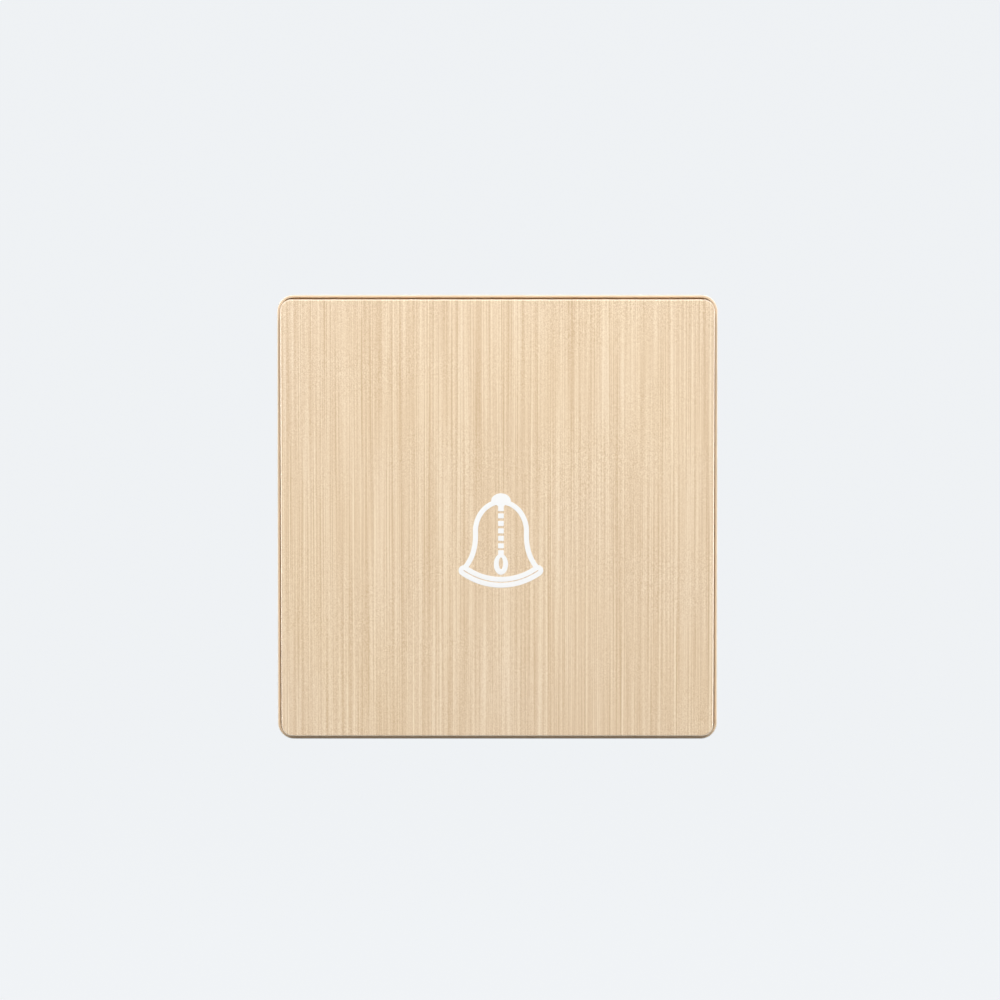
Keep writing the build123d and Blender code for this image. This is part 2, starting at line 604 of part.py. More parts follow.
def pillar(side, tongue_front):
    """Brass block with a bore for the wire, a slot for its strip and a tapped hole for its screw."""
    body = block(PILLAR_WIDTH, PILLAR_HEIGHT, side * PILLAR_X, PILLAR_Z, PILLAR_FRONT_Y, FLOOR_Y)
    body -= rod(WIRE_RADIUS, side * PILLAR_X, PILLAR_Z, PILLAR_FRONT_Y, FLOOR_Y)
    depth = TONGUE_LENGTH + TONGUE_CLEARANCE
    body -= block(
        depth, STRIP_WIDTH + 2 * TONGUE_CLEARANCE, side * (PILLAR_INNER_X + depth / 2), PILLAR_Z,
        tongue_front - TONGUE_CLEARANCE, tongue_front + STRIP + TONGUE_CLEARANCE,
    )
    reach = PILLAR_OUTER_X - PILLAR_X
    hole = Cylinder(TERMINAL_SCREW_RADIUS + TERMINAL_THREAD_CLEARANCE, reach, rotation=(0, 90, 0))
    return body - Pos(side * (PILLAR_X + reach / 2), TERMINAL_SCREW_Y, PILLAR_Z) * hole


def supply_pillar():
    return pillar(-1, FLOOR_Y - STRIP)


def bell_pillar():
    return pillar(1, fixed_face_y() + CONTACT_HEIGHT)


def terminal_screw(side):
    """Slotted clamping screw, backed off so that the wire's bore is open."""
    tip = PILLAR_X + WIRE_RADIUS + TERMINAL_TIP_GAP
    seat = PILLAR_OUTER_X + TERMINAL_HEAD_GAP
    end = seat + TERMINAL_HEAD_HEIGHT
    shank = Pos((tip + seat) / 2, 0, 0) * Cylinder(TERMINAL_SCREW_RADIUS, seat - tip, rotation=(0, 90, 0))
    head = Pos((seat + end) / 2, 0, 0) * Cylinder(
        TERMINAL_HEAD_RADIUS, TERMINAL_HEAD_HEIGHT, rotation=(0, 90, 0)
    )
    slot = Pos(end - DRIVE_SLOT_DEPTH / 2, 0, 0) * Box(
        DRIVE_SLOT_DEPTH, DRIVE_SLOT_WIDTH, 2 * TERMINAL_HEAD_RADIUS
    )
    screw = Pos(0, TERMINAL_SCREW_Y, PILLAR_Z) * (shank + head - slot)
    return screw if side > 0 else Rot(0, 0, 180) * Pos(0, -2 * TERMINAL_SCREW_Y, 0) * screw


def supply_screw():
    return terminal_screw(-1)


def bell_screw():
    return terminal_screw(1)


def shell_screws():
    """Two self-tapping screws from behind, through the shell into the mounting plate's bosses."""
    screws = []
    rear = WELL_Y + SCREW_HEAD_HEIGHT
    bar = Rectangle(DRIVE_SLOT_WIDTH, CROSS_LENGTH)
    for x, z in SCREW_PLACES:
        shank = rod(SCREW_SHANK_RADIUS, x, z, BOSS_END_Y - SCREW_BITE, WELL_Y)
        head = rod(SCREW_HEAD_RADIUS, x, z, WELL_Y, rear)
        cross = Pos(x, z) * (bar + Rot(0, 0, 90) * bar)
        screws.append(shank + head - slab(cross, rear - DRIVE_SLOT_DEPTH, rear))
    return Compound(children=screws)


MECHANISM = (
    rocker_key, mounting_plate, rocker_cradle, plunger, plunger_spring, return_spring,
    module_shell, contact_cover, seesaw_contact, moving_contact, fixed_contact, supply_terminal,
    bell_terminal, supply_pillar, bell_pillar, supply_screw, bell_screw, shell_screws,
)

os.makedirs("parts", exist_ok=True)
export_step(trim_frame(), "parts/trim_frame.step")
for make in MECHANISM:
    export_step(Rot(0, FITTED_TURN, 0) * make(), f"parts/{make.__name__}.step")
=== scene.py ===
# %% [markdown]
# # A bell push for the wall
#
# The real object is a plate, 86 mm wide, that closes a flush wall box. Nearly all that shows is one large key
# with a white bell on it, and round the key runs the thin rim of a trim frame.
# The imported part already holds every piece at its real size, so the form of the key and of the trim is there.
# This lesson adds what the eye looks for next: the brushed champagne coat, the printed sign, the wound springs
# and cut screws that the plain solids only stand for, and a quiet studio round it all.

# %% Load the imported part
import json
import math

import bpy
from mathutils import Matrix, Vector


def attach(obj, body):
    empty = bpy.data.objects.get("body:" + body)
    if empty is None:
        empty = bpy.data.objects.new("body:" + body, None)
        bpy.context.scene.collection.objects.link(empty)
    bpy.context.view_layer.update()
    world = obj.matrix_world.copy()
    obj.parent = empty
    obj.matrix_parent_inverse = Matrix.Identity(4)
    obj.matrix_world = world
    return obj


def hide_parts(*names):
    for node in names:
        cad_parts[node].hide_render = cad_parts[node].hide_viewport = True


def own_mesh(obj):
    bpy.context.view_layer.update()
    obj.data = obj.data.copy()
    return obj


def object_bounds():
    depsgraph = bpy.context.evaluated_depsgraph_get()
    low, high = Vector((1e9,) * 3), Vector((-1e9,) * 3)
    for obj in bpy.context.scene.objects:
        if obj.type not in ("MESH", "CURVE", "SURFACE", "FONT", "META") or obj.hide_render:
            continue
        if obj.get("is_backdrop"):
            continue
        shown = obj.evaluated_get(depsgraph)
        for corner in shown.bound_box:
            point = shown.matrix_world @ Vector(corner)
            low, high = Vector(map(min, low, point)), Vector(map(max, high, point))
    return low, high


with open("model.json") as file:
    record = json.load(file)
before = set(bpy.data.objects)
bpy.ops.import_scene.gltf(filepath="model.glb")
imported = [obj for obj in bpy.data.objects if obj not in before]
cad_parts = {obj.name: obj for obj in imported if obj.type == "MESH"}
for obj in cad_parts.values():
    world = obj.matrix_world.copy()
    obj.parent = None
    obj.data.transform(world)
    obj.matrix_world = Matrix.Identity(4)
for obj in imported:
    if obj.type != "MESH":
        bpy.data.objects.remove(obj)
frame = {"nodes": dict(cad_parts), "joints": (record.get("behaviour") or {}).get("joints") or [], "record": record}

MM = 0.001
nodes = frame["nodes"]
cad_low, cad_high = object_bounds()
print("loaded", len(nodes), "nodes, size in mm", [round(side / MM, 2) for side in cad_high - cad_low])

# %% [markdown]
# ## The key's own level frame
#
# The key rocks. At rest a spring holds its upper half out, so its face leans by a degree and a half.
# Anything printed on it is far easier to draw upright and then lean as one piece, so the lean is read from the
# joint rather than typed in: rest is one end of the travel, and level lies half way along it.

# %% Read the lean from the joint and measure the level key
press = next(joint for joint in frame["joints"] if joint["name"] == "key_press")
pivot = Vector(press["pos_m"])
rest_lean = -math.radians(press["range_deg"][1]) / 2 * press["axis"][0]
lean = Matrix.Translation(pivot) @ Matrix.Rotation(rest_lean, 4, "X") @ Matrix.Translation(-pivot)


def box_mm(name, turn=Matrix.Identity(4)):
    """The box round a CAD node, in mm, after its vertices are turned."""
    places = [turn @ vertex.co / MM for vertex in nodes[name].data.vertices]
    low = Vector(min(place[axis] for place in places) for axis in range(3))
    high = Vector(max(place[axis] for place in places) for axis in range(3))
    return low, high


key_low, key_high = box_mm("rocker_key", lean.inverted())
FACE_Y = key_low.y
print("lean", round(math.degrees(rest_lean), 2), "deg, face", round(FACE_Y, 3), "mm",
      "key", round(key_high.x - key_low.x, 2), "x", round(key_high.z - key_low.z, 2), "mm")

# %% [markdown]
# ## Small tools for the finishes
#
# Every finish here is a pattern worked out in the shader, so there are no pictures to stretch or to tile.
# The patterns follow the object coordinates. These nodes sit at the origin unscaled, so one unit is one metre,
# and a pattern can be asked for in millimetres.

# %% Add one shader node with its inputs
def add_node(tree, kind, inputs, **settings):
    """Adds a node, sets its options, then links or fills its inputs."""
    node = tree.nodes.new(kind)
    for name, value in settings.items():
        setattr(node, name, value)
    for name, value in inputs.items():
        if isinstance(value, bpy.types.NodeSocket):
            tree.links.new(value, node.inputs[name])
        else:
            node.inputs[name].default_value = value
    return node


def noise(tree, coords, patch, detail=2.0, shift=0.0):
    """Noise with patches of about this size, in mm along X, Y and Z."""
    scale = [1 / (size * MM) for size in patch]
    place = add_node(tree, "ShaderNodeMapping", {"Vector": coords, "Scale": scale, "Location": (shift, 0, shift)})
    texture = add_node(tree, "ShaderNodeTexNoise", {"Vector": place.outputs[0], "Scale": 1.0, "Detail": detail})
    return texture.outputs[0]


def calculate(tree, operation, *values):
    """The result of one sum with sockets and plain numbers."""
    return add_node(tree, "ShaderNodeMath", dict(enumerate(values)), operation=operation).outputs[0]


def weigh(tree, layers):
    """Adds up noises by weight, about a middle of one half."""
    total = 0.5 - sum(weight for _, weight in layers) / 2
    for factor, weight in layers:
        total = calculate(tree, "MULTIPLY_ADD", factor, weight, total)
    return total


def ramp(tree, factor, colours):
    """Colours spread evenly over the factor's range from 0 to 1."""
    node = add_node(tree, "ShaderNodeValToRGB", {"Fac": factor})
    stops = node.color_ramp.elements
    for index in range(1, len(colours) - 1):
        stops.new(index / (len(colours) - 1))
    for stop, colour in zip(stops, colours):
        stop.color = (*colour, 1)
    return node.outputs["Color"]


def mix(tree, share, first, second, blend_type="MIX"):
    """The first colour with a share of the second."""
    colours = [(*colour, 1) if isinstance(colour, tuple) else colour for colour in (first, second)]
    inputs = {0: share, 1: colours[0], 2: colours[1]}
    return add_node(tree, "ShaderNodeMixRGB", inputs, blend_type=blend_type).outputs[0]


print("shader tools ready")

# %% Start a finish and give it relief
def start_finish(name, roughness, metallic=0.0):
    """A new material, its shader and its object coordinates."""
    material = bpy.data.materials.new(name)
    material.use_nodes = True
    tree = material.node_tree
    shader = tree.nodes["Principled BSDF"]
    shader.inputs["Roughness"].default_value = roughness
    shader.inputs["Metallic"].default_value = metallic
    coords = add_node(tree, "ShaderNodeTexCoord", {}).outputs["Object"]
    return material, tree, shader, coords


def spread(tree, factor, low, high):
    """The factor's range from 0 to 1, moved to a range of plain values."""
    return add_node(tree, "ShaderNodeMapRange", {"Value": factor, "To Min": low, "To Max": high}).outputs[0]


def between(tree, value, nothing, full):
    """Nothing at one value, one at the other, even between them and held beyond them."""
    return add_node(tree, "ShaderNodeMapRange", {"Value": value, "From Min": nothing, "From Max": full}).outputs[0]


def relief(tree, shader, height, depth, strength=1.0):
    """Bumps of a depth in mm."""
    bump = add_node(tree, "ShaderNodeBump", {"Height": height, "Distance": depth * MM, "Strength": strength})
    tree.links.new(bump.outputs["Normal"], shader.inputs["Normal"])


def toned(colour, share):
    """A colour made lighter or darker by a share."""
    return tuple(min(1.0, part * share) for part in colour)


def shades(tree, factor, colour, dark, light):
    """A colour that goes from a darker to a lighter share of itself."""
    return ramp(tree, factor, [toned(colour, dark), colour, toned(colour, light)])


print("finish tools ready")

# %% [markdown]
# ## The brushed champagne coat
#
# The key is plastic under a warm metallic coat, and the coat is brushed upright before it is lacquered.
# Brushing leaves lines of many widths that fade in and out along their length. One stretched noise looks like
# a bar code, so several are laid over each other: soft bands, lines, and hair lines as fine as the grit.
# Here and there one grain of grit has cut deeper, so the peaks of one more noise are kept as dark scratches.
# A fine grain across them is the sparkle of the coat. It lies on the face alone, stronger in some patches than
# in others, and the warmth of the coat drifts slowly from place to place.
# On the rounded edge a painted highlight makes the coat paler, and the way the surface points tells the shader where
# that is.

# %% Brush the coat
CHAMPAGNE = (0.77, 0.593, 0.41)
CHAMPAGNE_DARK = (0.625, 0.45, 0.278)
CHAMPAGNE_LIGHT = (0.91, 0.765, 0.585)
WARM_VEIL = (1.0, 0.99, 0.95)
MID_GREY = (0.5, 0.5, 0.5)
SIDE_FACING, FRONT_FACING = -0.6, -0.95
SCRATCH_FROM, SCRATCH_FULL, SCRATCH_WEIGHT = 0.64, 0.8, -0.45


def facing_back(tree):
    """How far the surface points to the back: -1 on a face to the front, 0 on the sides."""
    normal = add_node(tree, "ShaderNodeNewGeometry", {}).outputs["Normal"]
    return add_node(tree, "ShaderNodeSeparateXYZ", {0: normal}).outputs["Y"]


key_coat, tree, shader, coords = start_finish("brushed_champagne", roughness=0.5, metallic=0.15)
bands = noise(tree, coords, (2.4, 60, 75), shift=3.1)
lines = noise(tree, coords, (0.6, 40, 55), shift=7.7)
hairs = noise(tree, coords, (0.17, 25, 48), detail=1.0, shift=11.3)
grit = noise(tree, coords, (0.3, 40, 55), detail=1.0, shift=15.1)
scratches = between(tree, grit, SCRATCH_FROM, SCRATCH_FULL)

on_face = between(tree, facing_back(tree), SIDE_FACING, FRONT_FACING)
patches = spread(tree, noise(tree, coords, (24, 60, 11), detail=0.0, shift=4.6), 0.1, 1.1)
speckle = noise(tree, coords, (0.12, 30, 0.12), detail=0.0, shift=5.9)
grain = mix(tree, calculate(tree, "MULTIPLY", on_face, patches), MID_GREY, speckle)

brushing = weigh(tree, [(bands, 0.26), (lines, 0.5), (hairs, 1.5), (grain, 2.2)])
brushing = calculate(tree, "MULTIPLY_ADD", scratches, SCRATCH_WEIGHT, brushing)
brushed = ramp(tree, brushing, [CHAMPAGNE_DARK, CHAMPAGNE, CHAMPAGNE_LIGHT])
warmth = spread(tree, noise(tree, coords, (22, 22, 34), detail=1.0, shift=8.3), -0.5, 1.5)
face_colour = mix(tree, warmth, brushed, WARM_VEIL, blend_type="MULTIPLY")
print("brushed", key_coat.name, "with", len(tree.nodes), "nodes")

# %% Paint a highlight on the edges and coat the trim
# The pale edge colour is a painted highlight on the rounded edges.
CHAMPAGNE_PAINTED_HIGHLIGHT = (0.96, 0.86, 0.72)
EDGE_ROUGHNESS = (0.22, 0.22, 0.22)
EDGE_FACING, EDGE_SPAN = -0.7, 0.28
TRIM_SPECULAR = 0.15


def rounded_edge(tree):
    """One on the way from the face to a side, nothing on the face and on the sides."""
    off = calculate(tree, "SUBTRACT", facing_back(tree), EDGE_FACING)
    return between(tree, calculate(tree, "ABSOLUTE", off), EDGE_SPAN, 0.0)


def paint_edge_highlight(tree, shader, colour):
    """Links a colour to the shader, with a painted highlight that makes the rounded edges paler."""
    tree.links.new(mix(tree, rounded_edge(tree), colour, CHAMPAGNE_PAINTED_HIGHLIGHT), shader.inputs["Base Color"])


# The key's rounded edges get the painted highlight; the lower roughness there below is a real finish.
paint_edge_highlight(tree, shader, face_colour)
shine = mix(tree, rounded_edge(tree), spread(tree, brushing, 0.44, 0.58), EDGE_ROUGHNESS)
tree.links.new(shine, shader.inputs["Roughness"])
relief(tree, shader, weigh(tree, [(lines, 0.5), (hairs, 0.5)]), depth=0.01, strength=0.35)

trim_coat, tree, shader, coords = start_finish("satin_champagne", roughness=0.4)
shader.inputs["Specular IOR Level"].default_value = TRIM_SPECULAR
cloud = noise(tree, coords, (6, 6, 6), shift=2.3)
satin = weigh(tree, [(cloud, 0.3), (noise(tree, coords, (0.2, 0.2, 0.2)), 0.4)])
# The trim's rounded edges get the same painted highlight.
paint_edge_highlight(tree, shader, shades(tree, satin, CHAMPAGNE, 0.86, 1.12))
tree.links.new(spread(tree, satin, 0.34, 0.46), shader.inputs["Roughness"])
relief(tree, shader, satin, depth=0.01, strength=0.3)
print("coated", trim_coat.name)

# %% [markdown]
# ## The moulded plastics
#
# The parts behind the key come out of steel moulds with a spark-eroded skin: a fine, even grain that takes the
# shine off. No batch of plastic is quite one colour either, so a slow drift of tone goes under the grain.
# One recipe serves all of them, and only colour, shine and grain differ.

# %% Mould four plastics
def moulded(name, colour, roughness, grain_size):
    """Moulded plastic with a drifting tone and a fine eroded grain."""
    material, tree, shader, coords = start_finish(name, roughness)
    drift = noise(tree, coords, (14, 14, 14), detail=3.0, shift=4.4)
    skin = noise(tree, coords, (grain_size,) * 3, shift=1.7)
    tone = weigh(tree, [(drift, 0.7), (skin, 0.3)])
    tree.links.new(shades(tree, tone, colour, 0.88, 1.08), shader.inputs["Base Color"])
    tree.links.new(spread(tree, skin, roughness - 0.08, roughness + 0.08), shader.inputs["Roughness"])
    relief(tree, shader, skin, depth=0.03, strength=0.4)
    return material


plate_white = moulded("plate_white", (0.82, 0.82, 0.80), roughness=0.45, grain_size=0.45)
cradle_white = moulded("cradle_white", (0.78, 0.78, 0.76), roughness=0.4, grain_size=0.35)
plunger_acetal = moulded("plunger_acetal", (0.70, 0.69, 0.65), roughness=0.3, grain_size=0.25)
shell_grey = moulded("shell_grey", (0.62, 0.63, 0.64), roughness=0.5, grain_size=0.55)
print("moulded", plate_white.name, cradle_white.name, plunger_acetal.name, shell_grey.name)

# %% [markdown]
# ## The metals
#
# Strip metal is rolled, so its faint lines run one way and its shine varies along them. Wire is drawn and screws
# are barrel plated, which leaves a cloudy skin with no direction. A metal recipe therefore takes the patch size
# on each axis: long on one axis for rolled strip, even for plating.

# %% Work five metals
def worked(name, colour, roughness, patch):
    """Bare or plated metal, with marks of a given size along X, Y and Z."""
    material, tree, shader, coords = start_finish(name, roughness, metallic=1.0)
    marks = noise(tree, coords, patch, detail=3.0, shift=6.1)
    cloud = noise(tree, coords, (5, 5, 5), shift=9.2)
    tone = weigh(tree, [(marks, 0.6), (cloud, 0.5)])
    tree.links.new(shades(tree, tone, colour, 0.72, 1.15), shader.inputs["Base Color"])
    tree.links.new(spread(tree, tone, roughness - 0.12, roughness + 0.12), shader.inputs["Roughness"])
    relief(tree, shader, marks, depth=0.008, strength=0.3)
    return material


contact_copper = worked("rolled_copper", (0.72, 0.42, 0.27), roughness=0.34, patch=(0.2, 0.2, 6))
contact_silver = worked("silver_alloy", (0.82, 0.81, 0.78), roughness=0.28, patch=(0.3, 0.3, 0.3))
terminal_brass = worked("milled_brass", (0.74, 0.55, 0.26), roughness=0.32, patch=(0.25, 5, 0.25))
spring_wire = worked("drawn_wire", (0.55, 0.55, 0.56), roughness=0.3, patch=(0.4, 0.4, 0.4))
screw_zinc = worked("zinc_plate", (0.68, 0.68, 0.66), roughness=0.36, patch=(0.6, 0.6, 0.6))
print("worked", contact_copper.name, contact_silver.name, terminal_brass.name, spring_wire.name, screw_zinc.name)

# %% Give every CAD node the finish of its slot
FINISHES = {
    "key_finish": key_coat,
    "trim_finish": trim_coat,
    "plate_plastic": plate_white,
    "cradle_plastic": cradle_white,
    "plunger_plastic": plunger_acetal,
    "shell_plastic": shell_grey,
    "contact_copper": contact_copper,
    "contact_silver": contact_silver,
    "terminal_brass": terminal_brass,
    "spring_wire": spring_wire,
    "screw_zinc": screw_zinc,
}


def wear(thing, material):
    """Makes a finish the only one on an object."""
    thing.data.materials.clear()
    thing.data.materials.append(material)


for subpart in frame["record"]["subparts"]:
    wear(nodes[subpart["node"]], FINISHES[subpart["material_slot"]])

# %% [markdown]
# ## The bell sign: strokes that keep their width
#
# The sign is printed on the coat in thick white ink. It is drawn in millimetres about its own middle, flat on
# the ground, and stood up at the end. A bell's outline is a pen stroke, and a pen stroke is what a curve with a
# section gives: a flat oblong is swept along the path, so the line keeps its width round every bend.
# The oblong starts as a plane primitive that is turned into a curve, and the paths are Bezier curves.
# Pieces that are joined to others later are made a hair thicker than the one before. Where two faces overlap in
# one plane a boolean can't tell which of them to keep, and it leaves torn slivers.

# %% Tools for curves and for joining
INK_RAISED = 0.05
INK_SUNK = 0.02
INK = INK_RAISED + INK_SUNK
HAIR = 0.004
SLACK = 0.01
MERGE = 0.001


def select_only(*things):
    """Selects these objects and makes the first one active."""
    bpy.ops.object.select_all(action="DESELECT")
    for thing in things:
        thing.select_set(True)
    bpy.context.view_layer.objects.active = things[0]


def edit_all(piece):
    """Opens edit mode on one piece, with all of it selected."""
    select_only(piece)
    bpy.ops.object.mode_set(mode="EDIT")
    bpy.ops.mesh.select_all(action="SELECT")


def ink_section(width, thick):
    """The flat oblong that a stroke is swept with."""
    bpy.ops.object.select_all(action="DESELECT")
    bpy.ops.mesh.primitive_plane_add(size=1)
    section = bpy.context.object
    section.scale = (width, thick, 1)
    bpy.ops.object.transform_apply(location=False, rotation=False, scale=True)
    edit_all(section)
    bpy.ops.mesh.delete(type="ONLY_FACE")
    bpy.ops.object.mode_set(mode="OBJECT")
    bpy.ops.object.convert(target="CURVE")
    return bpy.context.object


def tidy_mesh(piece):
    """Merges doubles and turns the normals outward."""
    edit_all(piece)
    bpy.ops.mesh.remove_doubles(threshold=MERGE)
    bpy.ops.mesh.normals_make_consistent(inside=False)
    bpy.ops.object.mode_set(mode="OBJECT")


def stroke(name, points, width, thick, closed=False):
    """A mesh ribbon along a Bezier path of points, each with its two handles."""
    section = ink_section(width, thick)
    bpy.ops.object.select_all(action="DESELECT")
    bpy.ops.curve.primitive_bezier_curve_add()
    path = bpy.context.object
    path.name = name
    spline = path.data.splines[0]
    spline.bezier_points.add(len(points) - len(spline.bezier_points))
    for knot, (place, before, after) in zip(spline.bezier_points, points):
        knot.handle_left_type = "FREE"
        knot.handle_right_type = "FREE"
        knot.co = (*place, 0)
        knot.handle_left = (*before, 0)
        knot.handle_right = (*after, 0)
    spline.use_cyclic_u = closed
    spline.resolution_u = 24
    path.data.dimensions = "3D"
    path.data.twist_mode = "Z_UP"
    path.data.bevel_mode = "OBJECT"
    path.data.bevel_object = section
    path.data.use_fill_caps = True
    select_only(path)
    bpy.ops.object.convert(target="MESH")
    tidy_mesh(path)
    bpy.data.objects.remove(section)
    return path


def combine(piece, other, operation):
    """A boolean of two pieces; the second one is used up."""
    select_only(piece)
    bpy.ops.object.modifier_add(type="BOOLEAN")
    change = piece.modifiers[-1]
    change.operation = operation
    change.solver = "EXACT"
    change.object = other
    bpy.ops.object.modifier_apply(modifier=change.name)
    bpy.data.objects.remove(other)
    tidy_mesh(piece)


print("curve tools ready")

# %% Stroke the bell's wall
WALL_STROKE = 0.99
right_half = [
    ((4.95, 1.78), (4.95, 4.93), (4.85, -0.99)),
    ((7.04, -5.31), (5.33, -3.28), (7.68, -6.07)),
]


def mirrored(point):
    """A path point on the other side, with its handles in turn."""
    place, before, after = ((-x, y) for x, y in point)
    return place, after, before


wall_points = [mirrored(point) for point in reversed(right_half)]
wall_points.append(((0, 7.49), (-2.73, 7.49), (2.73, 7.49)))
wall_points.extend(right_half)
bell = stroke("bell_sign", wall_points, WALL_STROKE, INK)
print("wall of", len(bell.data.polygons), "faces, width", round(bell.dimensions.x, 2), "mm")

# %% [markdown]
# The mouth of the bell is a long thin loop, almost closed up: two arcs about one centre with round ends, drawn
# by the same pen. Circle arcs are made from Bezier points with handles of 4/3 tan(a/4) times the radius, which is
# the length at which a Bezier lies on its circle to the eye.

# %% Stroke the bell's mouth
MOUTH_RADIUS = 12.35
MOUTH_CENTRE = 4.24
MOUTH_HALF_WIDTH = 7.16
MOUTH_HALF_GAP = 0.57
MOUTH_STROKE = 0.97


def arc_points(centre, radius, angles):
    """Bezier points along a circle through these angles, in radians."""
    points = []
    for index, angle in enumerate(angles):
        out = Vector((math.cos(angle), math.sin(angle)))
        along = Vector((-out.y, out.x))
        place = Vector(centre) + out * radius
        before = angle - angles[max(index - 1, 0)]
        after = angles[min(index + 1, len(angles) - 1)] - angle
        reach_before = 4 / 3 * math.tan(before / 4) * radius
        reach_after = 4 / 3 * math.tan(after / 4) * radius
        points.append((tuple(place), tuple(place - along * reach_before), tuple(place + along * reach_after)))
    return points


def join_arcs(arcs):
    """One list of points, with the shared ends of neighbouring arcs made one."""
    joined = []
    for arc in arcs:
        if joined:
            place, before, _ = joined[-1]
            joined[-1] = (place, before, arc[0][2])
            arc = arc[1:]
        joined.extend(arc)
    place, _, after = joined[0]
    joined[0] = (place, joined[-1][1], after)
    return joined[:-1]


swing = math.asin(MOUTH_HALF_WIDTH / MOUTH_RADIUS)
down = -math.pi / 2
end_right = Vector((0, MOUTH_CENTRE)) + MOUTH_RADIUS * Vector((math.sin(swing), -math.cos(swing)))
end_left = Vector((-end_right.x, end_right.y))
lower = arc_points((0, MOUTH_CENTRE), MOUTH_RADIUS + MOUTH_HALF_GAP, [down - swing, down, down + swing])
right = arc_points(end_right, MOUTH_HALF_GAP, [down + swing, swing, math.pi / 2 + swing])
upper = arc_points((0, MOUTH_CENTRE), MOUTH_RADIUS - MOUTH_HALF_GAP, [down + swing, down, down - swing])
left = arc_points(end_left, MOUTH_HALF_GAP, [math.pi / 2 - swing, math.pi - swing, 3 * math.pi / 2 - swing])
mouth = stroke("bell_mouth", join_arcs([lower, right, upper, left]), MOUTH_STROKE, INK + HAIR, closed=True)
print("mouth of", len(mouth.data.polygons), "faces, width", round(mouth.dimensions.x, 2), "mm")

# %% [markdown]
# ## The bell sign: knob, clapper beads and ring
#
# The knob on top is a flattened ball on a short neck. The ball starts as a filled circle that is squashed to an
# oval and cut off flat near its foot. The neck is an oblong that is drawn down twice: once inward for the funnel,
# once straight. Each flat outline is pulled up to the thickness of the ink, as the printer's stencil does, and
# then they are made one.

# %% Cut the knob from an oval
KNOB_WIDE = 1.90
KNOB_TALL = 1.48
KNOB_MIDDLE = 7.69
KNOB_FOOT = 7.05


def pick(piece, test):
    """Leaves edit mode on, with only the vertices selected that pass the test."""
    select_only(piece)
    bpy.ops.object.mode_set(mode="EDIT")
    bpy.ops.mesh.select_mode(type="VERT")
    bpy.ops.mesh.select_all(action="DESELECT")
    bpy.ops.object.mode_set(mode="OBJECT")
    for vertex in piece.data.vertices:
        vertex.select = test(vertex.co)
    bpy.ops.object.mode_set(mode="EDIT")


def thicken(piece, thick):
    """Pulls a flat outline up to a thickness, half above and half below the ground."""
    edit_all(piece)
    bpy.ops.transform.translate(value=(0, 0, -thick / 2))
    bpy.ops.mesh.extrude_region_move(TRANSFORM_OT_translate={"value": (0, 0, thick)})
    bpy.ops.object.mode_set(mode="OBJECT")
    tidy_mesh(piece)


def add_oval(name, wide, tall, middle, vertices, fill_type="NOTHING"):
    """A flat oval on the middle line, from its half-width, its half-height and the height of its middle."""
    bpy.ops.object.select_all(action="DESELECT")
    bpy.ops.mesh.primitive_circle_add(vertices=vertices, radius=1, fill_type=fill_type, location=(0, middle, 0))
    oval = bpy.context.object
    oval.name = name
    oval.scale = (wide, tall, 1)
    bpy.ops.object.transform_apply(location=True, rotation=False, scale=True)
    return oval


knob = add_oval("knob", KNOB_WIDE, KNOB_TALL, KNOB_MIDDLE, vertices=64, fill_type="NGON")
edit_all(knob)
bpy.ops.mesh.bisect(plane_co=(0, KNOB_FOOT, 0), plane_no=(0, 1, 0), clear_inner=True, use_fill=False)
bpy.ops.object.mode_set(mode="OBJECT")
foot_half = max(vertex.co.x for vertex in knob.data.vertices if vertex.co.y < KNOB_FOOT + SLACK)
print("knob cut at half-width", round(foot_half, 2), "mm")

# %% Draw the funnel and the neck, and join them to the bell
FUNNEL_HALF = 0.98
NECK_HALF = 0.55
NECK_LAP = 0.2
NECK_TOP = 6.65
NECK_END = 5.71


def add_oblong(name, half, top, bottom):
    """A flat oblong about the middle line, from its top down to its bottom."""
    bpy.ops.object.select_all(action="DESELECT")
    bpy.ops.mesh.primitive_plane_add(size=1, location=(0, (top + bottom) / 2, 0))
    oblong = bpy.context.object
    oblong.name = name
    oblong.scale = (2 * half, top - bottom, 1)
    bpy.ops.object.transform_apply(location=True, rotation=False, scale=True)
    return oblong


thicken(knob, INK + 2 * HAIR)
neck = add_oblong("neck", FUNNEL_HALF, KNOB_FOOT + NECK_LAP, KNOB_FOOT)
pick(neck, lambda place: place.y < KNOB_FOOT + NECK_LAP / 2)
bpy.ops.mesh.extrude_region_move(TRANSFORM_OT_translate={"value": (0, NECK_TOP - KNOB_FOOT, 0)})
bpy.ops.transform.resize(value=(NECK_HALF / FUNNEL_HALF, 1, 1), center_override=(0, NECK_TOP, 0))
bpy.ops.mesh.extrude_region_move(TRANSFORM_OT_translate={"value": (0, NECK_END - NECK_TOP, 0)})
bpy.ops.object.mode_set(mode="OBJECT")
thicken(neck, INK + 3 * HAIR)
combine(knob, neck, "UNION")
combine(bell, knob, "UNION")
combine(bell, mouth, "UNION")
print("wall, mouth and knob in one outline of", len(bell.data.polygons), "faces")

# %% [markdown]
# Down the middle hang five small blocks and an oval ring on a short link. The blocks repeat, so one is modelled
# and four copies follow it down, each with a mesh of its own. The ring is two circles bridged into a band.

# %% Cut one bead and copy it down the chain
BEAD_TOP = 5.28
BEAD_TALL = 0.98
BEAD_STEP = 1.453
BEAD_COUNT = 5
BEAD_ROUND = 0.07

bead = add_oblong("bead", NECK_HALF, BEAD_TOP, BEAD_TOP - BEAD_TALL)
edit_all(bead)
bpy.ops.mesh.bevel(offset=BEAD_ROUND, segments=2, affect="VERTICES")
bpy.ops.object.mode_set(mode="OBJECT")
thicken(bead, INK)
beads = [bead]
for index in range(1, BEAD_COUNT):
    select_only(bead)
    bpy.ops.object.duplicate_move(TRANSFORM_OT_translate={"value": (0, -BEAD_STEP * index, 0)})
    beads.append(bpy.context.object)
print("beads:", len(beads))

